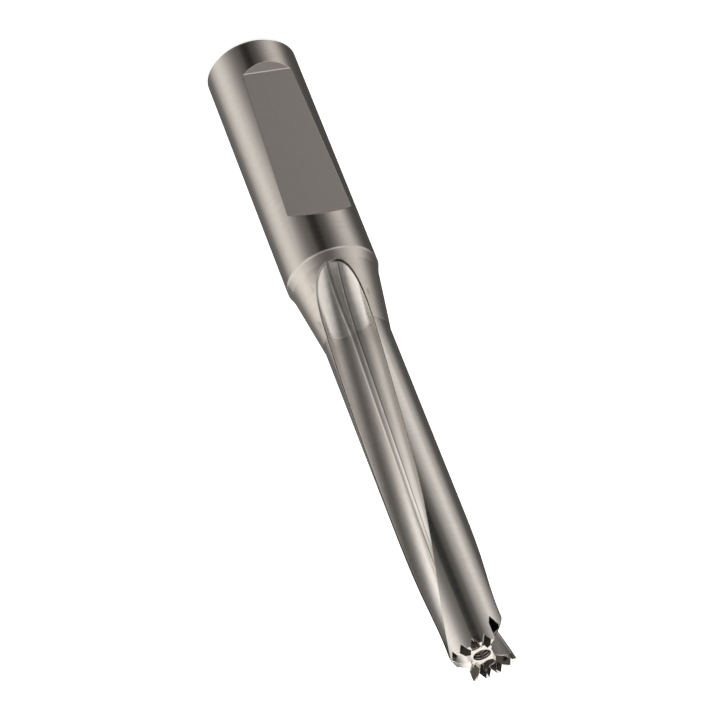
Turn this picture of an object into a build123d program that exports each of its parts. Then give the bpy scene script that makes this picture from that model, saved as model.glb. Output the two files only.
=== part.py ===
"""Body of a drill with a replaceable head: round shank with a sloping clamping
flat, cone, and a slim two-flute shaft that ends in the serrated head seat.

Millimetres. The tool axis is Z, the rear end of the shank stands on Z = 0 and
the head seat is at the top. The clamping flat faces -Y. Angles of the flutes
and of the seat are turned clockwise, seen from the seat, from SIGHT_ANGLE.
"""

import os
from math import cos, radians, sin, sqrt, tan

from build123d import *

# Shank
SHANK_DIAMETER = 16.0
SHANK_LENGTH = 48.0
REAR_CHAMFER = 1.0
FRONT_EDGE_CHAMFER = 0.12

# Clamping flat, sloping down towards the head
FLAT_START = 7.2
FLAT_END = 38.1
FLAT_DEPTH_AT_START = 1.25
FLAT_SLOPE = 1.9
FLAT_END_WALL = 45.0

# Shoulder and cone between shank and shaft
SHOULDER_LENGTH = 1.7
SHOULDER_DROP = 0.55
SHAFT_START = 61.2
SHAFT_STEP = 0.08

# Fluted shaft
SHAFT_DIAMETER = 11.5
TOTAL_LENGTH = 125.6

# Flute section
SEAT_TAPER_LENGTH = 30.6
WEB_THICKNESS = 4.2
WEB_THICKNESS_SEAT = 3.35
FLUTE_OPENING = 92.0
FLUTE_OPENING_SEAT = 82.0
FLUTE_WALL_RADIUS = 3.4
FLUTE_WALL_RADIUS_SEAT = 2.6
FLOOR_STRIP_WIDTH = 0.95
FLOOR_STRIP_SAG = 0.06
FLOOR_STRIP_OFFSET = 0.08
LIP_CHAMFER = 0.12

# Flute course: clockwise angle of the flute centre, falling with the height.
# The twist is even along the rear of the shaft and tightens towards the seat.
SIGHT_ANGLE = -69.5
FLUTE_ANGLE_AT_SHAFT = -5.5
FLUTE_TWIST = 0.96
TWIST_GROWTH_LENGTH = 35.6
TWIST_GROWTH = 0.0506
HEEL_OPENING_AT_SEAT = 19.3118

# Flute run-out, ground by a wheel that leaves the shaft through the cone
RUNOUT_WHEEL_RADIUS = 25.0
RUNOUT_ENTRY_SLOPE = 10.0
RUNOUT_STATIONS = 8
RUNOUT_STEP = 2.0
RUNOUT_STRIP_GROWTH = 0.085

# Head seat
TOOTH_COUNT = 18
TOOTH_ANGLE = 4.8
TOOTH_HEIGHT = 1.25
TOOTH_GROOVE_ANGLE = 60.0
HUB_DIAMETER = 5.6
HUB_DEPTH = 1.02
GROOVE_OVERLAP = 0.15
SCREW_HOLE_DIAMETER = 2.86
SCREW_HOLE_DEPTH = 14.0

# Relief of the heel of each land: a straight wall beside the teeth, the corner
# behind it rounded off, and a pocket with a pointed floor at the foot of the wall
HEEL_WALL_ANGLE = 19.0
HEEL_WALL_OFFSET = 1.13
HEEL_WALL_START = 2.1
HEEL_WALL_DEPTH = 1.5
HEEL_ROUNDING_DEPTH = 5.8
HEEL_ROUNDING_RADIUS = 4.5
HEEL_ROUNDING_END = 3.95
POCKET_SIDE = 2.78
POCKET_SIDE_DEPTH = 3.1
POCKET_POINT = 3.22
POCKET_DEPTH = 4.3
POCKET_END = 4.8
POCKET_END_DEPTH = 1.5
POCKET_BACK = 3.6

# Coolant supply: inlet bore in the shank, one twisted channel in each land
INLET_DIAMETER = 7.0
INLET_DEPTH = 42.0
INLET_POINT_ANGLE = 118.0
CHANNEL_DIAMETER = 2.3
CHANNEL_CIRCLE_RADIUS = 3.4
CHANNEL_OVERLAP = 2.0
CHANNEL_TWIST_START = 50.0
CHANNEL_MOUTH_LENGTH = 5.1
CHANNEL_TO_FLUTE_ANGLE = 75.0

# Dependent sizes
SHANK_RADIUS = SHANK_DIAMETER / 2
SHAFT_RADIUS = SHAFT_DIAMETER / 2
CLEAR = 3.0
GROOVE_START = HUB_DIAMETER / 2 - GROOVE_OVERLAP
OUTSIDE = SHANK_RADIUS + 2 * CLEAR
SEAT_TAPER_START = TOTAL_LENGTH - SEAT_TAPER_LENGTH
TWIST_GROWTH_START = TOTAL_LENGTH - TWIST_GROWTH_LENGTH
FLUTE_STATIONS = 11
FLUTE_STEP = (TOTAL_LENGTH + CLEAR - SHAFT_START) / (FLUTE_STATIONS - 1)
CHANNEL_TWIST_END = TOTAL_LENGTH - CHANNEL_MOUTH_LENGTH
CHANNEL_STATIONS = 7
CHANNEL_STEP = (CHANNEL_TWIST_END - CHANNEL_TWIST_START) / (CHANNEL_STATIONS - 1)


def turn(angle):
    """Angle round Z from +X of a clockwise flute or seat angle."""
    return SIGHT_ANGLE - angle


def around(radius, angle, height):
    """Point at a radius and a clockwise angle round the axis."""
    return Vector(
        radius * cos(radians(turn(angle))), radius * sin(radians(turn(angle))), height
    )


def flute_angle(height):
    """Clockwise angle of the flute centre at a height."""
    even = FLUTE_TWIST * (height - SHAFT_START)
    tighter = TWIST_GROWTH / 2 * max(height - TWIST_GROWTH_START, 0.0) ** 2
    return FLUTE_ANGLE_AT_SHAFT - even - tighter


def tapered(rear, seat, height):
    """Size that is even along the rear of the shaft and runs to another at the seat."""
    share = (height - SEAT_TAPER_START) / (TOTAL_LENGTH - SEAT_TAPER_START)
    return rear + (seat - rear) * max(share, 0.0)


def flute_plane(height, lift=0.0):
    """Plane across the axis, its Y pointing out through the middle of the flute."""
    outward = around(1.0, flute_angle(height), 0.0)
    return Plane(
        origin=outward * lift + Vector(0, 0, height),
        x_dir=outward.cross(Vector(0, 0, 1)),
        z_dir=(0, 0, 1),
    )


def standing_plane(reach, angle):
    """Upright plane square to a direction, its Y up and its origin level with the seat."""
    outward = around(1.0, angle, 0.0)
    return Plane(
        origin=outward * reach + Vector(0, 0, TOTAL_LENGTH),
        x_dir=outward.cross(Vector(0, 0, 1)),
        z_dir=outward * -1,
    )


def channel_plane(height):
    """Plane across the axis, centred on the coolant channel of one land."""
    return Plane(
        around(CHANNEL_CIRCLE_RADIUS, flute_angle(height) + CHANNEL_TO_FLUTE_ANGLE, height)
    )


def lip(angle, side, chamfer):
    """Lip of a flute in its section, and a far point that the flank beside it runs to."""
    edge_angle = radians(angle) + chamfer / SHAFT_RADIUS
    inner = Vector(SHAFT_RADIUS * sin(radians(angle)), SHAFT_RADIUS * cos(radians(angle)) - chamfer)
    far = Vector(inner.X, OUTSIDE)
    if chamfer > 0:
        edge = Vector(SHAFT_RADIUS * sin(edge_angle), SHAFT_RADIUS * cos(edge_angle))
        far = inner + (edge - inner) * (SHAFT_RADIUS / (edge.X - inner.X))
    return (side * inner.X, inner.Y), (side * far.X, far.Y), (side * far.X, OUTSIDE)


def flute_outline(height, strip_width, chamfer=0.0):
    """Flute section: hollow wall, floor strip, hollow wall, closed far outside."""
    half = tapered(FLUTE_OPENING, FLUTE_OPENING_SEAT, height) / 2
    lead = lip(half, 1, chamfer)
    seat_heel = flute_angle(TOTAL_LENGTH) - HEEL_OPENING_AT_SEAT
    heel = lip(min(half, flute_angle(height) - seat_heel), -1, chamfer)
    floor = tapered(WEB_THICKNESS, WEB_THICKNESS_SEAT, height) / 2
    wall_radius = tapered(FLUTE_WALL_RADIUS, FLUTE_WALL_RADIUS_SEAT, height)
    left = FLOOR_STRIP_OFFSET - strip_width / 2
    right = FLOOR_STRIP_OFFSET + strip_width / 2
    if chamfer > 0:
        Polyline(lead[0], lead[1], lead[2], heel[2], heel[1], heel[0])
    else:
        Polyline(lead[0], lead[1], heel[1], heel[0])
    RadiusArc(heel[0], (left, floor), -wall_radius)
    SagittaArc((left, floor), (right, floor), FLOOR_STRIP_SAG)
    RadiusArc((right, floor), lead[0], -wall_radius)


def runout_lift(back):
    """Rise of the flute floor at a distance behind the start of the shaft."""
    entry = radians(RUNOUT_ENTRY_SLOPE)
    along = sin(entry) + back / RUNOUT_WHEEL_RADIUS
    return RUNOUT_WHEEL_RADIUS * (cos(entry) - sqrt(1 - along**2))


os.makedirs("parts", exist_ok=True)

# Flute along the shaft
with BuildPart() as flute:
    for station in range(FLUTE_STATIONS):
        height = SHAFT_START + station * FLUTE_STEP
        with BuildSketch(flute_plane(height)):
            with BuildLine():
                flute_outline(height, FLOOR_STRIP_WIDTH, LIP_CHAMFER)
            make_face()
    loft()

# Flute run-out through the cone
with BuildPart() as runout:
    for station in range(RUNOUT_STATIONS):
        back = station * RUNOUT_STEP
        height = SHAFT_START - back
        with BuildSketch(flute_plane(height, runout_lift(back))):
            with BuildLine():
                strip_width = FLOOR_STRIP_WIDTH + RUNOUT_STRIP_GROWTH * back
                flute_outline(height, strip_width)
            make_face()
    loft()

# Coolant channel: straight from the inlet bore, twisted with the land, straight to the seat
with BuildPart() as channel:
    for station in range(CHANNEL_STATIONS):
        height = CHANNEL_TWIST_START + station * CHANNEL_STEP
        with BuildSketch(channel_plane(height)):
            Circle(CHANNEL_DIAMETER / 2)
    loft(ruled=True)
    with BuildSketch(channel_plane(CHANNEL_TWIST_START)):
        Circle(CHANNEL_DIAMETER / 2)
    extrude(amount=INLET_DEPTH - CHANNEL_OVERLAP - CHANNEL_TWIST_START)
    with BuildSketch(channel_plane(CHANNEL_TWIST_END)):
        Circle(CHANNEL_DIAMETER / 2)
    extrude(amount=TOTAL_LENGTH + CLEAR - CHANNEL_TWIST_END)

# Groove between two teeth of the seat
with BuildPart() as tooth_groove:
    with BuildSketch(Plane.YZ.offset(GROOVE_START)):
        with BuildLine():
            bottom = TOTAL_LENGTH - TOOTH_HEIGHT
            half_width = (TOOTH_HEIGHT + CLEAR) * tan(radians(TOOTH_GROOVE_ANGLE / 2))
            top = TOTAL_LENGTH + CLEAR
            Polyline((0, bottom), (half_width, top), (-half_width, top), close=True)
        make_face()
    extrude(amount=SHAFT_RADIUS)

# Relief of one heel: wall and rounded corner, cut out from beside the hub
with BuildPart() as heel_relief:
    with BuildSketch(standing_plane(HEEL_WALL_START, HEEL_WALL_ANGLE)):
        with BuildLine():
            wall_foot = (HEEL_WALL_OFFSET, -HEEL_WALL_DEPTH)
            heel_foot = (HEEL_ROUNDING_END, -HEEL_ROUNDING_DEPTH)
            Polyline(
                wall_foot,
                (HEEL_WALL_OFFSET, CLEAR),
                (OUTSIDE, CLEAR),
                (OUTSIDE, -HEEL_ROUNDING_DEPTH),
                heel_foot,
            )
            RadiusArc(wall_foot, heel_foot, HEEL_ROUNDING_RADIUS)
        make_face()
    extrude(amount=-OUTSIDE)

# Pocket at the foot of the wall of one heel
with BuildPart() as heel_pocket:
    with BuildSketch(standing_plane(POCKET_BACK, 0)):
        with BuildLine():
            Polyline(
                (POCKET_SIDE, CLEAR),
                (POCKET_SIDE, -POCKET_SIDE_DEPTH),
                (POCKET_POINT, -POCKET_DEPTH),
                (POCKET_END, -POCKET_END_DEPTH),
                (POCKET_END, CLEAR),
                close=True,
            )
        make_face()
    extrude(amount=-OUTSIDE)

# Drill body
with BuildPart() as drill_body:
    with BuildSketch(Plane.XZ):
        with BuildLine():
            cone_end = SHAFT_RADIUS + SHAFT_STEP
            Polyline(
                (0, 0),
                (SHANK_RADIUS - REAR_CHAMFER, 0),
                (SHANK_RADIUS, REAR_CHAMFER),
                (SHANK_RADIUS, SHANK_LENGTH - FRONT_EDGE_CHAMFER),
                (SHANK_RADIUS - FRONT_EDGE_CHAMFER, SHANK_LENGTH + FRONT_EDGE_CHAMFER),
                (SHANK_RADIUS - SHOULDER_DROP, SHANK_LENGTH + SHOULDER_LENGTH),
                (cone_end, SHAFT_START - SHAFT_STEP),
                (SHAFT_RADIUS, SHAFT_START),
                (SHAFT_RADIUS, TOTAL_LENGTH),
                (0, TOTAL_LENGTH),
                close=True,
            )
        make_face()
    revolve(axis=Axis.Z)

    # Clamping flat with a sloping wall at each end
    with BuildSketch(Plane.YZ):
        with BuildLine():
            rise = (FLAT_END - FLAT_START) * tan(radians(FLAT_SLOPE))
            depth_at_end = FLAT_DEPTH_AT_START + rise
            wall = 1 / tan(radians(FLAT_END_WALL))
            Polyline(
                (FLAT_DEPTH_AT_START - SHANK_RADIUS, FLAT_START),
                (depth_at_end - SHANK_RADIUS, FLAT_END),
                (-SHANK_RADIUS - CLEAR, FLAT_END + (depth_at_end + CLEAR) * wall),
                (-SHANK_RADIUS - CLEAR, FLAT_START - (FLAT_DEPTH_AT_START + CLEAR) * wall),
                close=True,
            )
        make_face()
    extrude(amount=SHANK_RADIUS, both=True, mode=Mode.SUBTRACT)

    # Both flutes with their run-outs
    with PolarLocations(0, 2):
        add(flute.part, mode=Mode.SUBTRACT)
    with PolarLocations(0, 2):
        add(runout.part, mode=Mode.SUBTRACT)

    # Inlet bore with its drill point, and the two channels
    with BuildSketch(Plane.XZ):
        with BuildLine():
            point = INLET_DIAMETER / 2 / tan(radians(INLET_POINT_ANGLE / 2))
            Polyline(
                (0, 0),
                (INLET_DIAMETER / 2, 0),
                (INLET_DIAMETER / 2, INLET_DEPTH),
                (0, INLET_DEPTH + point),
                close=True,
            )
        make_face()
    revolve(axis=Axis.Z, mode=Mode.SUBTRACT)
    with PolarLocations(0, 2):
        add(channel.part, mode=Mode.SUBTRACT)

    # Head seat: hub face, screw hole, teeth and heel relief
    with BuildSketch(Plane.XY.offset(TOTAL_LENGTH)):
        Circle(HUB_DIAMETER / 2)
    extrude(amount=-HUB_DEPTH, mode=Mode.SUBTRACT)
    with BuildSketch(Plane.XY.offset(TOTAL_LENGTH)):
        Circle(SCREW_HOLE_DIAMETER / 2)
    extrude(amount=-SCREW_HOLE_DEPTH, mode=Mode.SUBTRACT)
    with PolarLocations(0, TOOTH_COUNT, start_angle=turn(TOOTH_ANGLE + 180 / TOOTH_COUNT)):
        add(tooth_groove.part, mode=Mode.SUBTRACT)
    with PolarLocations(0, 2):
        add(heel_relief.part, mode=Mode.SUBTRACT)
    with PolarLocations(0, 2):
        add(heel_pocket.part, mode=Mode.SUBTRACT)

drill_body.part.label = "drill_body"
export_step(drill_body.part, "parts/drill_body.step")
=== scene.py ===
"""Looks, light and camera for the body of a drill with a replaceable head.

Lengths are metres and angles are degrees, in the part's own frame: tool axis Z,
shank end on the floor.
"""

import math

import bpy
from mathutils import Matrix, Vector

# Turned profile: shank, ring at its front edge, shoulder, cone, shaft
SHANK_TOP = 0.0480
SHANK_RADIUS = 0.0080
RING_START = 0.04762
RING_DROP = 0.00014
RING_TOP = 0.04812
RING_RADIUS = 0.00788
SHOULDER_TOP = 0.0497
SHOULDER_RADIUS = 0.00745
SHAFT_START = 0.0612
CONE_END_RADIUS = 0.00583
SHAFT_RADIUS = 0.00575
SEAT_HEIGHT = 0.1256

# Clamping flat and its rear wall
FLAT_WALL_START = 0.0030
FLAT_WALL_END = 0.00706
FLAT_REACH = (0.0072, 0.0415)

# Flute course: azimuth at the shaft's start, twist per metre and its growth
FLUTE_AZIMUTH = -64.0385
FLUTE_TWIST = 960.0
TWIST_GROWTH_START = 0.0900
TWIST_GROWTH = 25300.0

# Share of a soft band's half width that is full
BAND_CORE = 0.3

# Floor strip of the flute, its two cusps with a painted highlight on each and the painted shade
# beside each, as place and half width
FLOOR_STRIP_HALF = 0.000475
FLOOR_STRIP_OFFSET = -0.00012
RUNOUT_STRIP_GROWTH = 0.0425
CUSP_LINE_HALF = 0.00016
LEFT_SHADE = (0.00038, 0.00034)
RIGHT_SHADE = (0.00022, 0.00016)
CUSP_SHADE = 0.5
CUSP_GLEAM = 0.75
CUSP_SLOPE = 0.00020
CUSP_HEIGHTS = (0.00003, 0.00005)

# Painted shade as a dark line inside the rim of each cut, wider on the run-out's arch, and a
# painted highlight on the lip by it
RIM_WIDTH = 0.00024
ARCH_WIDTH = 0.00050
RIM_FADE = (0.6, 1.0)
ARCH_RIGHT = (-0.0005, 0.0010)
ARCH_LEFT = (-0.0006, -0.0018)
ARCH_LEFT_SHARE = 0.6
LIP_LINE = (0.00034, 0.00016)
# Just over 1, so that the depth of a cut is never divided by zero
FACING_LIMIT = 1.0001

# Limits of the finishes and of the step's band of painted shade; HEEL_REACH and SEAT_REACH are
# measured down from the seat's top
FINISH_BLEND = 0.0001
FLUTE_ENTRY = 0.0003
CUT_DEPTH = (0.00003, 0.00006)
RUNOUT_FADE = 0.0020
POLISH_REACH = (0.075, 0.118)
HEEL_REACH = (0.0100, 0.0060)
HEEL_SIDE = (0.0006, 0.0012)
SEAT_REACH = (0.0014, 0.0012)
STEP_BAND = (0.00004, 0.00010)

# Seat: teeth, pocket behind each heel and threaded screw hole; a slope is the upright
# part of the surface normal, and POCKET_REACH is measured down from the seat's top
TOOTH_HEIGHT = 0.00125
FLANK_SLOPE = (0.5, 0.12)
POCKET_AZIMUTH = -88.5385
POCKET_SIDES = (0.00118, 0.0026)
POCKET_BACK = 0.0034
POCKET_REACH = (0.0044, 0.0021)
STEEP_SLOPE = 0.5
SCREW_HOLE_RADIUS = 0.00143
SCREW_HOLE_MARGIN = 0.00002
SCREW_HOLE_DEPTH = 0.0140
THREAD_PITCH = 0.00050
THREAD_HEIGHT = 0.00012

# Grinding marks, from noise round a mean of one half
NOISE_MEAN = 0.5
GRAIN_STRETCH = 0.08
FLAT_GRAIN_STRETCH = 0.16
GRAIN_FINENESS = 3500.0
GRAIN_DETAIL = 3.0
GRAIN_DEPTH = 0.18
GRAIN_SHARE = 0.07
GRAIN_HEIGHT = 0.000003
CLOUD_FINENESS = 900.0
CLOUD_DETAIL = 4.0
CLOUD_DEPTH = 0.12
ROUGHNESS_SPREAD = 0.12

# Softened edges
EDGE_ROUNDING = 0.00012
EDGE_SAMPLES = 4

# Steel colours
SHANK_STEEL = (0.67, 0.612, 0.552)
CONE_STEEL = (0.78, 0.71, 0.635)
SHAFT_STEEL = (0.87, 0.81, 0.74)
# Painted shade that dulls the bright line which the small step at the shaft's start catches
STEP_PAINTED_SHADE = (0.45, 0.415, 0.375)
# Painted shade on the rear wall of the clamping flat
FLAT_WALL_PAINTED_SHADE = (0.28, 0.256, 0.233)
FLUTE_STEEL = (0.78, 0.72, 0.655)
POLISHED_STEEL = (1.0, 0.94, 0.87)
HEEL_STEEL = (0.42, 0.395, 0.37)
BORE_STEEL = (0.34, 0.31, 0.28)
# Painted highlight on the cusps and lips
CUSP_PAINTED_HIGHLIGHT = (1.0, 0.95, 0.88)
GRAIN_SHADE = (0.30, 0.27, 0.24)
# Painted shade beside the cusps and inside the rims
LINE_PAINTED_SHADE = (0.07, 0.06, 0.05)
# Painted shade on the flanks of the grooves between the seat's teeth
GROOVE_PAINTED_SHADE = (0.09, 0.078, 0.066)
# Black painted shade on the outward-facing walls of the pocket behind each heel
POCKET_PAINTED_SHADE = (0.02, 0.017, 0.015)

# Roughness of the shank and of each zone laid over it, in this order
SHANK_ROUGHNESS = 0.24
ZONE_ROUGHNESS = (
    ("Cone", 0.30),
    ("Shaft", 0.20),
    ("Flute", 0.42),
    ("Runout", 0.24),
    ("Tip flute", 0.24),
    ("Heel wall", 0.60),
    ("Seat", 0.16),
)

# Steel of each zone laid over the shank's, in this order; Step and Flat wall get painted shade
ZONE_STEEL = (
    ("Shaft", SHAFT_STEEL),
    ("Cone", CONE_STEEL),
    ("Step", STEP_PAINTED_SHADE),
    ("Flat wall", FLAT_WALL_PAINTED_SHADE),
    ("Flute", FLUTE_STEEL),
    ("Runout", POLISHED_STEEL),
    ("Tip flute", POLISHED_STEEL),
    ("Heel wall", HEEL_STEEL),
    ("Seat", SHAFT_STEEL),
    ("Bore", BORE_STEEL),
)

# Painted highlights and painted shades on cusps, rims, tooth grooves and pocket walls, in this
# order
PAINTED_LIGHT_COLOURS = (
    ("Bright", CUSP_PAINTED_HIGHLIGHT),
    ("Painted shade", LINE_PAINTED_SHADE),
    ("Groove", GROOVE_PAINTED_SHADE),
    ("Pocket", POCKET_PAINTED_SHADE),
)

# Camera, at the photograph's viewing angle
SIGHT_AZIMUTH = -69.5385
CAMERA_REACH = 0.49317
CAMERA_HEIGHT = 0.395672
CAMERA_TURN = (-54.24127, -17.72356, -172.00216)
LENS = 181.4434
SENSOR = 36.0
CLIP_START = 0.01

# Floor and white surroundings
FLOOR_RADIUS = 2.0
FLOOR_SIDES = 96
FLOOR_GREY = (0.8, 0.8, 0.8)
FLOOR_LIFT = 0.75
WHITE = (1.0, 1.0, 1.0, 1.0)

# Light tent: azimuths right of its front, seen from the body, tilts above the floor
TENT_RADIUS = 3.0
TENT_CENTRE = 0.06
TENT_SEGMENTS = 64
TENT_RINGS = 32
# Azimuth of the tent's front before it is turned to the camera
TENT_FRONT = -90.0
# Azimuth, width to the front, width to the back and strength of each side
TENT_SIDES = ((-80.0, 34.0, 34.0, 0.86), (74.0, 29.0, 24.0, 0.70))
TENT_LOW_TILT = -34.0
TENT_WIDENING = 1.6
TENT_TOP = (35.0, 60.0)
TENT_BACK = (110.0, 135.0)
BACK_TOP = (17.0, 27.0)
FRONT_GAP = (5.0, 40.0)
TENT_HAZE = (0.15, 0.085)
HAZE_TURN = (-8.0, 12.0)
CARD_CENTRE = 2.0
CARD_HALF_WIDTH = 11.0
CARD_TOP = -24.0
CARD_DEPTH = 0.8

# Overhead lamp
LAMP_PLACE = (0.05, 0.1, 0.8)
LAMP_SIZE = 0.5
LAMP_WATTS = 1.0

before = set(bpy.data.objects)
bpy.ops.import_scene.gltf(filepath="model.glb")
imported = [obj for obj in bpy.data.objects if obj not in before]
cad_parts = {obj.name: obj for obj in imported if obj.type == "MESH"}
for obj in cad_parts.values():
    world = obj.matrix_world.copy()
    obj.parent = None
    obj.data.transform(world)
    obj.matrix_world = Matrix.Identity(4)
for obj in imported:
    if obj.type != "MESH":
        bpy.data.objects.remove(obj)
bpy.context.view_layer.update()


def new_material(name):
    """Material with an empty tree but for its Principled shader and its output."""
    material = bpy.data.materials.new(name)
    material.use_nodes = True
    tree = material.node_tree
    tree.nodes.clear()
    output = tree.nodes.new("ShaderNodeOutputMaterial")
    shader = tree.nodes.new("ShaderNodeBsdfPrincipled")
    tree.links.new(shader.outputs["BSDF"], output.inputs["Surface"])
    return material, tree, shader


def new_group(name, inputs, outputs):
    """Empty shader node group with number inputs and outputs; gives it and its two ends."""
    group = bpy.data.node_groups.new(name, "ShaderNodeTree")
    for socket in inputs:
        group.interface.new_socket(socket, in_out="INPUT", socket_type="NodeSocketFloat")
    for socket in outputs:
        group.interface.new_socket(socket, in_out="OUTPUT", socket_type="NodeSocketFloat")
    return group, group.nodes.new("NodeGroupInput"), group.nodes.new("NodeGroupOutput")


def place_group(tree, group, sources):
    """Group placed in a tree, with its inputs fed from sockets of the same names."""
    node = tree.nodes.new("ShaderNodeGroup")
    node.node_tree = group
    for socket in node.inputs:
        tree.links.new(sources[socket.name], socket)
    return node.outputs


def feed(tree, socket, value):
    """Sets a socket to a number or links another socket to it."""
    if isinstance(value, (int, float)):
        socket.default_value = value
    else:
        tree.links.new(value, socket)


def math_node(tree, operation, *values):
    """Math node fed with sockets and numbers; gives its output socket."""
    node = tree.nodes.new("ShaderNodeMath")
    node.operation = operation
    for socket, value in zip(node.inputs, values):
        feed(tree, socket, value)
    return node.outputs["Value"]


def product(tree, first, *others):
    """Product of sockets and numbers."""
    result = first
    for value in others:
        result = math_node(tree, "MULTIPLY", result, value)
    return result


def rest_of(tree, share):
    """1 less the share."""
    return math_node(tree, "SUBTRACT", 1.0, share)


def between(tree, value, low, high):
    """1 where the value lies between two limits, else 0."""
    over = math_node(tree, "GREATER_THAN", value, low)
    return product(tree, over, math_node(tree, "LESS_THAN", value, high))


def smooth_step(tree, value, low, high):
    """Rises smoothly from 0 at low to 1 at high."""
    node = tree.nodes.new("ShaderNodeMapRange")
    node.interpolation_type = "SMOOTHSTEP"
    tree.links.new(value, node.inputs["Value"])
    node.inputs["From Min"].default_value = low
    node.inputs["From Max"].default_value = high
    return node.outputs["Result"]


def band(tree, value, centre, half_width):
    """Soft band: 1 at the centre, 0 from the half width on."""
    off = math_node(tree, "ABSOLUTE", math_node(tree, "SUBTRACT", value, centre))
    return rest_of(tree, smooth_step(tree, off, half_width * BAND_CORE, half_width))


def line_through(tree, value, first, second):
    """Height of the straight line through two points, at a value along it."""
    slope = (second[1] - first[1]) / (second[0] - first[0])
    return math_node(tree, "MULTIPLY_ADD", value, slope, first[1] - slope * first[0])


def number_mix(tree, share, first, second):
    """Number that runs from first to second with the share."""
    node = tree.nodes.new("ShaderNodeMix")
    tree.links.new(share, node.inputs["Factor"])
    feed(tree, node.inputs["A"], first)
    feed(tree, node.inputs["B"], second)
    return node.outputs["Result"]


def colour_mix(tree, share, first, second):
    """Colour that runs from first to second with the share."""
    node = tree.nodes.new("ShaderNodeMix")
    node.data_type = "RGBA"
    tree.links.new(share, node.inputs["Factor"])
    for socket, value in ((node.inputs["A"], first), (node.inputs["B"], second)):
        if isinstance(value, tuple):
            socket.default_value = (*value, 1.0)
        else:
            tree.links.new(value, socket)
    return node.outputs["Result"]


def length_along(tree, vector, direction):
    """Length of a vector along a fixed direction or along another vector."""
    node = tree.nodes.new("ShaderNodeVectorMath")
    node.operation = "DOT_PRODUCT"
    tree.links.new(vector, node.inputs[0])
    if isinstance(direction, tuple):
        node.inputs[1].default_value = direction
    else:
        tree.links.new(direction, node.inputs[1])
    return node.outputs["Value"]


def split_axes(tree, vector):
    """X, Y and Z of a vector."""
    node = tree.nodes.new("ShaderNodeSeparateXYZ")
    tree.links.new(vector, node.inputs[0])
    return node.outputs["X"], node.outputs["Y"], node.outputs["Z"]


def surface_place(tree):
    """Point of the surface, in the frame of its own object."""
    return tree.nodes.new("ShaderNodeTexCoord").outputs["Object"]


def surface_normal(tree):
    """Normal of the surface, in the frame of its own object."""
    face = tree.nodes.new("ShaderNodeNewGeometry")
    node = tree.nodes.new("ShaderNodeVectorTransform")
    node.vector_type = "NORMAL"
    node.convert_from = "WORLD"
    node.convert_to = "OBJECT"
    tree.links.new(face.outputs["Normal"], node.inputs[0])
    return node.outputs["Vector"]


def noise(tree, vector, scale, detail):
    """Fractal noise between 0 and 1."""
    node = tree.nodes.new("ShaderNodeTexNoise")
    tree.links.new(vector, node.inputs["Vector"])
    node.inputs["Scale"].default_value = scale
    node.inputs["Detail"].default_value = detail
    return node.outputs["Fac"]


def stretched(tree, vector, scale):
    """Point scaled along each axis, so that noise on it runs out into streaks."""
    node = tree.nodes.new("ShaderNodeMapping")
    node.inputs["Scale"].default_value = scale
    tree.links.new(vector, node.inputs["Vector"])
    return node.outputs["Vector"]


def turned_radius(tree, height, shaft):
    """Radius of the turned body before its flutes and flat are cut."""
    ring = (RING_TOP, RING_RADIUS)
    shoulder = (SHOULDER_TOP, SHOULDER_RADIUS)
    cone_end = (SHAFT_START, CONE_END_RADIUS)
    shoulder_line = line_through(tree, height, ring, shoulder)
    cone_line = line_through(tree, height, shoulder, cone_end)
    rear = math_node(tree, "MAXIMUM", shoulder_line, cone_line)
    rear = math_node(tree, "MINIMUM", rear, SHANK_RADIUS)
    rear = math_node(tree, "SUBTRACT", rear, product(tree, shaft, CONE_END_RADIUS))
    return math_node(tree, "MAXIMUM", rear, product(tree, shaft, SHAFT_RADIUS))


def place_in_flute(tree, x, y, radius, height):
    """Place across the nearer flute and outward from the axis, along its twist."""
    turn = math_node(tree, "ARCTAN2", y, x)
    forward = math_node(tree, "SUBTRACT", height, SHAFT_START)
    twist = math.radians(FLUTE_TWIST)
    even = math_node(tree, "MULTIPLY_ADD", forward, twist, math.radians(FLUTE_AZIMUTH))
    growing = math_node(tree, "SUBTRACT", height, TWIST_GROWTH_START)
    growing = math_node(tree, "MAXIMUM", growing, 0.0)
    tighter = product(tree, growing, growing, math.radians(TWIST_GROWTH))
    centre = math_node(tree, "ADD", even, tighter)
    off = math_node(tree, "SUBTRACT", centre, turn)
    off = math_node(tree, "WRAP", off, math.pi / 2, -math.pi / 2)
    across = product(tree, radius, math_node(tree, "SINE", off))
    outward = product(tree, radius, math_node(tree, "COSINE", off))
    return across, outward


def flute_finishes(tree, flute, height, across):
    """Parts of the flute with a finish of their own: run-out, tip and heel wall."""
    fading = smooth_step(tree, height, SHAFT_START - RUNOUT_FADE, SHAFT_START + RUNOUT_FADE)
    near_seat = smooth_step(tree, height, *(SEAT_HEIGHT - reach for reach in HEEL_REACH))
    heel_side = smooth_step(tree, across, *HEEL_SIDE)
    return {
        "Runout": product(tree, flute, rest_of(tree, fading)),
        "Tip flute": product(tree, flute, smooth_step(tree, height, *POLISH_REACH)),
        "Heel wall": product(tree, near_seat, heel_side, flute),
    }


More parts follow.
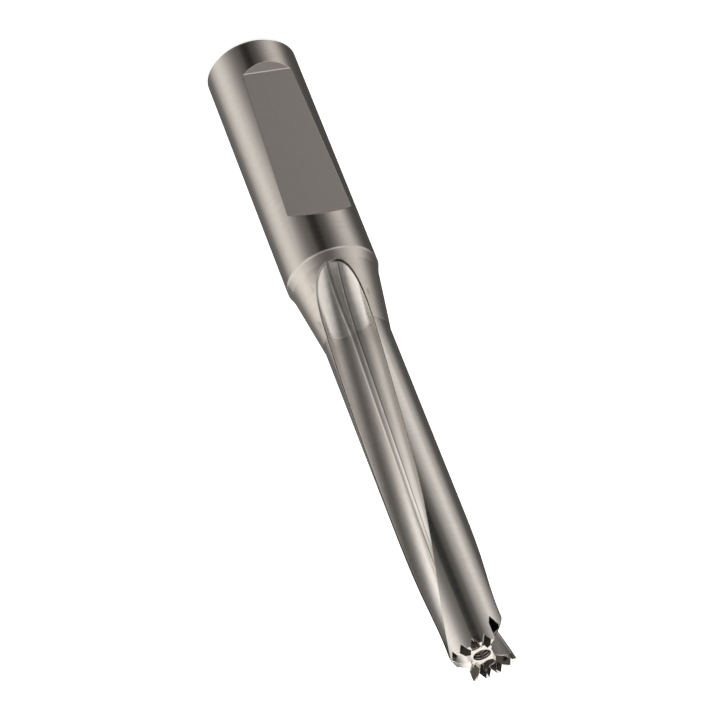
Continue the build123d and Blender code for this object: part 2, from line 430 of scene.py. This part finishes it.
def body_zones():
    """Group that tells the ground zones of the body apart by height and radius."""
    places = ("Across", "Outward", "Height", "Depth")
    names = [name for name, _ in ZONE_STEEL] + ["Flat", *places]
    tree, _, ends = new_group("body_zones", (), names)
    x, y, height = split_axes(tree, surface_place(tree))
    squares = math_node(tree, "MULTIPLY_ADD", x, x, product(tree, y, y))
    radius = math_node(tree, "SQRT", squares)
    across, outward = place_in_flute(tree, x, y, radius, height)
    shaft = smooth_step(tree, height, SHAFT_START - FINISH_BLEND, SHAFT_START)
    above_shank = smooth_step(tree, height, SHANK_TOP - FINISH_BLEND, SHANK_TOP)
    depth = math_node(tree, "SUBTRACT", turned_radius(tree, height, shaft), radius)
    cut = smooth_step(tree, depth, *CUT_DEPTH)
    seat = smooth_step(tree, height, *(SEAT_HEIGHT - reach for reach in SEAT_REACH))
    narrow = math_node(tree, "LESS_THAN", radius, SCREW_HOLE_RADIUS + SCREW_HOLE_MARGIN)
    bored = math_node(tree, "GREATER_THAN", height, SEAT_HEIGHT - SCREW_HOLE_DEPTH)
    bore = product(tree, narrow, bored)
    fluted = math_node(tree, "GREATER_THAN", height, SHANK_TOP + FLUTE_ENTRY)
    flute = product(tree, cut, fluted, rest_of(tree, seat), rest_of(tree, bore))
    zones = {
        "Shaft": shaft,
        "Cone": math_node(tree, "SUBTRACT", above_shank, shaft),
        # Band at the step, where painted shade dulls its bright line
        "Step": band(tree, height, SHAFT_START - STEP_BAND[0], STEP_BAND[1]),
        "Flat": product(tree, between(tree, height, *FLAT_REACH), cut),
        # Rear wall of the flat, which gets painted shade
        "Flat wall": product(tree, between(tree, height, FLAT_WALL_START, FLAT_WALL_END), cut),
        "Flute": flute,
        "Seat": seat,
        "Bore": bore,
        "Across": across,
        "Outward": outward,
        "Height": height,
        "Depth": depth,
    }
    zones.update(flute_finishes(tree, flute, height, across))
    for name, value in zones.items():
        tree.links.new(value, ends.inputs[name])
    return tree


def cusp_distances(tree, across, height):
    """Distances to the left and right cusp of the floor strip, which widens in the run-out."""
    behind = math_node(tree, "MAXIMUM", math_node(tree, "SUBTRACT", SHAFT_START, height), 0.0)
    half = math_node(tree, "MULTIPLY_ADD", behind, RUNOUT_STRIP_GROWTH, FLOOR_STRIP_HALF)
    off = math_node(tree, "SUBTRACT", across, FLOOR_STRIP_OFFSET)
    return math_node(tree, "ADD", off, half), math_node(tree, "SUBTRACT", off, half)


def rim_distance(tree, place, normal, depth):
    """Distance along the surface of a cut from the turned face outside it."""
    level = tree.nodes.new("ShaderNodeVectorMath")
    level.operation = "MULTIPLY"
    level.inputs[1].default_value = (1.0, 1.0, 0.0)
    tree.links.new(place, level.inputs[0])
    radial = tree.nodes.new("ShaderNodeVectorMath")
    radial.operation = "NORMALIZE"
    tree.links.new(level.outputs["Vector"], radial.inputs[0])
    facing = length_along(tree, radial.outputs["Vector"], normal)
    side = math_node(tree, "SUBTRACT", FACING_LIMIT, product(tree, facing, facing))
    return math_node(tree, "DIVIDE", depth, math_node(tree, "SQRT", side))


def rim_line(tree, distance, on_cone, across):
    """Painted shade as a dark line inside the rim, weaker on the left of the arch and left out at
    its top.
    """
    width = math_node(tree, "MULTIPLY_ADD", on_cone, ARCH_WIDTH - RIM_WIDTH, RIM_WIDTH)
    share = math_node(tree, "DIVIDE", distance, width)
    line = rest_of(tree, smooth_step(tree, share, *RIM_FADE))
    left = product(tree, smooth_step(tree, across, *ARCH_LEFT), ARCH_LEFT_SHARE)
    strength = math_node(tree, "MAXIMUM", smooth_step(tree, across, *ARCH_RIGHT), left)
    strength = math_node(tree, "MAXIMUM", strength, rest_of(tree, on_cone))
    return product(tree, line, strength)


def pocket_walls(tree, place, normal, height):
    """1 on the steep walls that face outward in the pocket behind each heel, which get black
    painted shade.
    """
    wall = math.radians(POCKET_AZIMUTH)
    outward = (math.cos(wall), math.sin(wall), 0.0)
    ahead = length_along(tree, place, outward)
    flute_side = math_node(tree, "SIGN", ahead)
    aside = length_along(tree, place, (math.sin(wall), -math.cos(wall), 0.0))
    beside = between(tree, product(tree, aside, flute_side), *POCKET_SIDES)
    beyond = math_node(tree, "GREATER_THAN", math_node(tree, "ABSOLUTE", ahead), POCKET_BACK)
    inside = between(tree, height, *(SEAT_HEIGHT - reach for reach in POCKET_REACH))
    facing = product(tree, length_along(tree, normal, outward), flute_side)
    outer = math_node(tree, "GREATER_THAN", facing, 0.0)
    steep = math_node(tree, "LESS_THAN", split_axes(tree, normal)[2], STEEP_SLOPE)
    return product(tree, beside, beyond, inside, outer, steep)


def tooth_flanks(tree, normal, height):
    """1 on the flanks of the grooves between the teeth of the seat, which get painted shade."""
    root = SEAT_HEIGHT - TOOTH_HEIGHT
    above_root = smooth_step(tree, height, root, root + FINISH_BLEND)
    return product(tree, band(tree, split_axes(tree, normal)[2], *FLANK_SLOPE), above_root)


def cut_relief(tree, left, right, socket):
    """Fine heights that stand for the cusps, the screw thread and the shank's ring."""
    steps = []
    for distance, rise in zip((left, right), CUSP_HEIGHTS):
        steps.append(product(tree, smooth_step(tree, distance, -CUSP_SLOPE, CUSP_SLOPE), rise))
    cusps = product(tree, math_node(tree, "ADD", *steps), socket["Flute"])
    winding = product(tree, socket["Height"], 2 * math.pi / THREAD_PITCH)
    winding = math_node(tree, "SINE", winding)
    thread = product(tree, winding, THREAD_HEIGHT / 2, socket["Bore"])
    ring = product(tree, smooth_step(tree, socket["Height"], RING_START, SHANK_TOP), -RING_DROP)
    return math_node(tree, "ADD", math_node(tree, "ADD", cusps, thread), ring)


def painted_lines_and_relief():
    """Group of fine lines of painted highlight and painted shade on cusps, rims, grooves and
    pocket, and of the relief.
    """
    inputs = ("Across", "Height", "Depth", "Flute", "Bore")
    outputs = [name for name, _ in PAINTED_LIGHT_COLOURS] + ["Relief"]
    tree, starts, ends = new_group("painted_lines_and_relief", inputs, outputs)
    socket = starts.outputs
    height, flute = socket["Height"], socket["Flute"]
    place, normal = surface_place(tree), surface_normal(tree)
    left, right = cusp_distances(tree, socket["Across"], height)
    on_cone = math_node(tree, "LESS_THAN", height, SHAFT_START)
    distance = rim_distance(tree, place, normal, socket["Depth"])
    # Painted highlights on the cusps and the lip, painted shade beside the cusps and inside the
    # rim
    cusps = [band(tree, cusp, 0.0, CUSP_LINE_HALF) for cusp in (left, right)]
    gleam = math_node(tree, "SUBTRACT", band(tree, distance, *LIP_LINE), on_cone)
    bright = math_node(tree, "MAXIMUM", math_node(tree, "MAXIMUM", *cusps), gleam)
    shades = (band(tree, left, *LEFT_SHADE), band(tree, right, *RIGHT_SHADE))
    shade = product(tree, math_node(tree, "MAXIMUM", *shades), CUSP_SHADE)
    rim = rim_line(tree, distance, on_cone, socket["Across"])
    lines = {
        "Bright": product(tree, bright, flute, CUSP_GLEAM),
        "Painted shade": product(tree, math_node(tree, "MAXIMUM", shade, rim), flute),
        # Painted shade on the tooth flanks
        "Groove": tooth_flanks(tree, normal, height),
        # Black painted shade on the pocket walls
        "Pocket": product(tree, pocket_walls(tree, place, normal, height), flute),
        "Relief": cut_relief(tree, left, right, socket),
    }
    for name, value in lines.items():
        tree.links.new(value, ends.inputs[name])
    return tree


def grinding_grain():
    """Group of the grinding marks: round the turned faces, lengthwise on flat and flutes."""
    inputs = ("Across", "Outward", "Height", "Flute", "Flat")
    tree, starts, ends = new_group("grinding_grain", inputs, ("Shade", "Roughness", "Relief"))
    socket = starts.outputs
    place = surface_place(tree)
    round_marks = stretched(tree, place, (GRAIN_STRETCH, GRAIN_STRETCH, 1.0))
    flat_marks = stretched(tree, place, (1.0, 1.0, FLAT_GRAIN_STRETCH))
    flute_marks = tree.nodes.new("ShaderNodeCombineXYZ")
    tree.links.new(socket["Across"], flute_marks.inputs["X"])
    tree.links.new(socket["Outward"], flute_marks.inputs["Y"])
    tree.links.new(product(tree, socket["Height"], GRAIN_STRETCH), flute_marks.inputs["Z"])
    marks = noise(tree, round_marks, GRAIN_FINENESS, GRAIN_DETAIL)
    for zone, vector in (("Flute", flute_marks.outputs["Vector"]), ("Flat", flat_marks)):
        lines = noise(tree, vector, GRAIN_FINENESS, GRAIN_DETAIL)
        marks = number_mix(tree, socket[zone], marks, lines)
    clouds = product(tree, noise(tree, place, CLOUD_FINENESS, CLOUD_DETAIL), CLOUD_DEPTH)
    shade = math_node(tree, "MULTIPLY_ADD", marks, GRAIN_DEPTH, clouds)
    surplus = (GRAIN_DEPTH + CLOUD_DEPTH) * NOISE_MEAN - GRAIN_SHARE
    uneven = math_node(tree, "SUBTRACT", marks, NOISE_MEAN)
    grain = {
        "Shade": math_node(tree, "SUBTRACT", shade, surplus),
        "Roughness": product(tree, uneven, ROUGHNESS_SPREAD),
        "Relief": product(tree, marks, GRAIN_HEIGHT),
    }
    for name, value in grain.items():
        tree.links.new(value, ends.inputs[name])
    return tree


def rounded_normal(tree, height):
    """Normal with softened edges and a relief on it."""
    edges = tree.nodes.new("ShaderNodeBevel")
    edges.samples = EDGE_SAMPLES
    edges.inputs["Radius"].default_value = EDGE_ROUNDING
    relief = tree.nodes.new("ShaderNodeBump")
    relief.inputs["Distance"].default_value = 1.0
    tree.links.new(height, relief.inputs["Height"])
    tree.links.new(edges.outputs["Normal"], relief.inputs["Normal"])
    return relief.outputs["Normal"]


def steel_material():
    """Satin ground tool steel: grey shank, brighter fluted shaft."""
    material, tree, shader = new_material("ground_steel")
    zone = place_group(tree, body_zones(), {})
    grain = place_group(tree, grinding_grain(), zone)
    line = place_group(tree, painted_lines_and_relief(), zone)
    colour = SHANK_STEEL
    for name, steel in ZONE_STEEL:
        colour = colour_mix(tree, zone[name], colour, steel)
    colour = colour_mix(tree, grain["Shade"], colour, GRAIN_SHADE)
    # Painted highlights and painted shades laid over the steel
    for name, shade in PAINTED_LIGHT_COLOURS:
        colour = colour_mix(tree, line[name], colour, shade)
    rough = SHANK_ROUGHNESS
    for name, value in ZONE_ROUGHNESS:
        rough = number_mix(tree, zone[name], rough, value)
    rough = math_node(tree, "ADD", rough, grain["Roughness"])
    relief = math_node(tree, "ADD", line["Relief"], grain["Relief"])
    tree.links.new(colour, shader.inputs["Base Color"])
    tree.links.new(rough, shader.inputs["Roughness"])
    tree.links.new(rounded_normal(tree, relief), shader.inputs["Normal"])
    shader.inputs["Metallic"].default_value = 1.0
    return material


def sight_direction():
    """Level unit vector from the tool axis towards the camera."""
    angle = math.radians(SIGHT_AZIMUTH)
    return Vector((math.cos(angle), math.sin(angle), 0.0))


def white_rays(tree):
    """1 for the rays that see the white surroundings: camera, gloss and glass."""
    path = tree.nodes.new("ShaderNodeLightPath")
    seen = math_node(tree, "MAXIMUM", path.outputs["Is Camera Ray"], path.outputs["Is Glossy Ray"])
    return math_node(tree, "MAXIMUM", seen, path.outputs["Is Transmission Ray"])


def floor_material():
    """Pale matt floor that looks white beside the body and keeps its shadow."""
    material, tree, shader = new_material("floor")
    shader.inputs["Base Color"].default_value = (*FLOOR_GREY, 1.0)
    shader.inputs["Roughness"].default_value = 1.0
    shader.inputs["Specular IOR Level"].default_value = 0.0
    shader.inputs["Emission Color"].default_value = WHITE
    lift = product(tree, white_rays(tree), FLOOR_LIFT)
    tree.links.new(lift, shader.inputs["Emission Strength"])
    return material


def smooth_angle(tree, value, limits):
    """Rises smoothly from 0 to 1 between two angles in degrees."""
    return smooth_step(tree, value, *(math.radians(limit) for limit in limits))


def side_glow(tree, turn, spread, side):
    """Bell of light on one side of the tent, which spreads with the tilt."""
    azimuth, front_width, back_width, strength = side
    sign = math.copysign(1.0, azimuth)
    off = math_node(tree, "MULTIPLY_ADD", turn, sign, -math.radians(abs(azimuth)))
    to_back = math_node(tree, "MAXIMUM", off, 0.0)
    to_back = math_node(tree, "DIVIDE", to_back, math.radians(back_width))
    to_front = math_node(tree, "MINIMUM", off, 0.0)
    to_front = math_node(tree, "DIVIDE", to_front, math.radians(front_width))
    share = math_node(tree, "DIVIDE", math_node(tree, "ADD", to_back, to_front), spread)
    bell = product(tree, math_node(tree, "POWER", share, 2.0), -1.0)
    return product(tree, math_node(tree, "POWER", math.e, bell), strength)


def cloth_light(tree, turn, tilt):
    """Light of the tent's cloth: two bright sides, top and upper back."""
    above = math_node(tree, "SUBTRACT", tilt, math.radians(TENT_LOW_TILT))
    above = math_node(tree, "MAXIMUM", above, 0.0)
    above = math_node(tree, "POWER", above, 2.0)
    spread = math_node(tree, "MULTIPLY_ADD", above, TENT_WIDENING, 1.0)
    glows = [side_glow(tree, turn, spread, side) for side in TENT_SIDES]
    off_front = math_node(tree, "ABSOLUTE", turn)
    back = smooth_angle(tree, off_front, TENT_BACK)
    light = product(tree, math_node(tree, "MAXIMUM", *glows), rest_of(tree, back))
    upper_back = product(tree, back, smooth_angle(tree, tilt, BACK_TOP))
    light = math_node(tree, "MAXIMUM", light, upper_back)
    top = smooth_angle(tree, tilt, TENT_TOP)
    light = math_node(tree, "MAXIMUM", light, top)
    beside_gap = smooth_angle(tree, off_front, FRONT_GAP)
    return product(tree, light, math_node(tree, "MAXIMUM", beside_gap, top))


def card_shade(tree, turn, tilt):
    """Share of light that the dark card low in the tent's front leaves."""
    off_card = math_node(tree, "SUBTRACT", turn, math.radians(CARD_CENTRE))
    off_card = math_node(tree, "ABSOLUTE", off_card)
    across = math_node(tree, "LESS_THAN", off_card, math.radians(CARD_HALF_WIDTH))
    low = math_node(tree, "LESS_THAN", tilt, math.radians(CARD_TOP))
    return math_node(tree, "ADD", product(tree, across, low, -CARD_DEPTH), 1.0)


def tent_material():
    """Light of the studio tent, by azimuth and tilt seen from the body."""
    material = bpy.data.materials.new("tent_cloth")
    material.use_nodes = True
    tree = material.node_tree
    tree.nodes.clear()
    unit = tree.nodes.new("ShaderNodeVectorMath")
    unit.operation = "NORMALIZE"
    tree.links.new(surface_place(tree), unit.inputs[0])
    x, y, z = split_axes(tree, unit.outputs["Vector"])
    turn = math_node(tree, "ARCTAN2", product(tree, x, -1.0), product(tree, y, -1.0))
    tilt = math_node(tree, "ARCSINE", z)
    to_right = smooth_angle(tree, turn, HAZE_TURN)
    growth = TENT_HAZE[1] - TENT_HAZE[0]
    haze = math_node(tree, "MULTIPLY_ADD", to_right, growth, TENT_HAZE[0])
    light = math_node(tree, "ADD", cloth_light(tree, turn, tilt), haze)
    cloth = tree.nodes.new("ShaderNodeEmission")
    strength = product(tree, light, card_shade(tree, turn, tilt))
    tree.links.new(strength, cloth.inputs["Strength"])
    output = tree.nodes.new("ShaderNodeOutputMaterial")
    tree.links.new(cloth.outputs["Emission"], output.inputs["Surface"])
    return material


def dress_body():
    """Puts the steel on the drill body."""
    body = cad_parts["drill_body"]
    body.data.materials.clear()
    body.data.materials.append(steel_material())


def lay_floor():
    """Pale floor disc under the body."""
    bpy.ops.mesh.primitive_circle_add(
        vertices=FLOOR_SIDES, radius=FLOOR_RADIUS, fill_type="NGON"
    )
    floor = bpy.context.object
    floor.name = "floor"
    floor.data.materials.append(floor_material())
    floor.visible_glossy = False


def pitch_tent():
    """Glowing cloth round the body, unseen by the camera."""
    bpy.ops.mesh.primitive_uv_sphere_add(
        segments=TENT_SEGMENTS,
        ring_count=TENT_RINGS,
        radius=TENT_RADIUS,
        location=(0, 0, TENT_CENTRE),
    )
    tent = bpy.context.object
    tent.name = "light_tent"
    tent.rotation_euler = (0, 0, math.radians(SIGHT_AZIMUTH - TENT_FRONT))
    tent.data.materials.append(tent_material())
    tent.visible_camera = False
    tent.visible_shadow = False


def whiten_world():
    """White surroundings behind the floor and the tent."""
    world = bpy.data.worlds.new("studio")
    world.use_nodes = True
    bpy.context.scene.world = world
    background = world.node_tree.nodes["Background"]
    background.inputs["Color"].default_value = WHITE
    world.node_tree.links.new(white_rays(world.node_tree), background.inputs["Strength"])


def hang_lamp():
    """Weak soft lamp over the body."""
    lamp_data = bpy.data.lights.new("overhead_lamp", "AREA")
    lamp_data.shape = "SQUARE"
    lamp_data.size = LAMP_SIZE
    lamp_data.energy = LAMP_WATTS
    lamp = bpy.data.objects.new("overhead_lamp", lamp_data)
    lamp.location = LAMP_PLACE
    bpy.context.scene.collection.objects.link(lamp)


def place_camera():
    """Camera that sees the body as the photograph does."""
    camera_data = bpy.data.cameras.new("camera")
    camera_data.sensor_width = SENSOR
    camera_data.lens = LENS
    camera_data.clip_start = CLIP_START
    camera = bpy.data.objects.new("camera", camera_data)
    bpy.context.scene.collection.objects.link(camera)
    camera.location = sight_direction() * CAMERA_REACH + Vector((0, 0, CAMERA_HEIGHT))
    camera.rotation_euler = [math.radians(angle) for angle in CAMERA_TURN]
    bpy.context.scene.camera = camera


dress_body()
lay_floor()
pitch_tent()
whiten_world()
hang_lamp()
place_camera()
bpy.context.scene.view_settings.view_transform = "Standard"

bpy.context.view_layer.update()
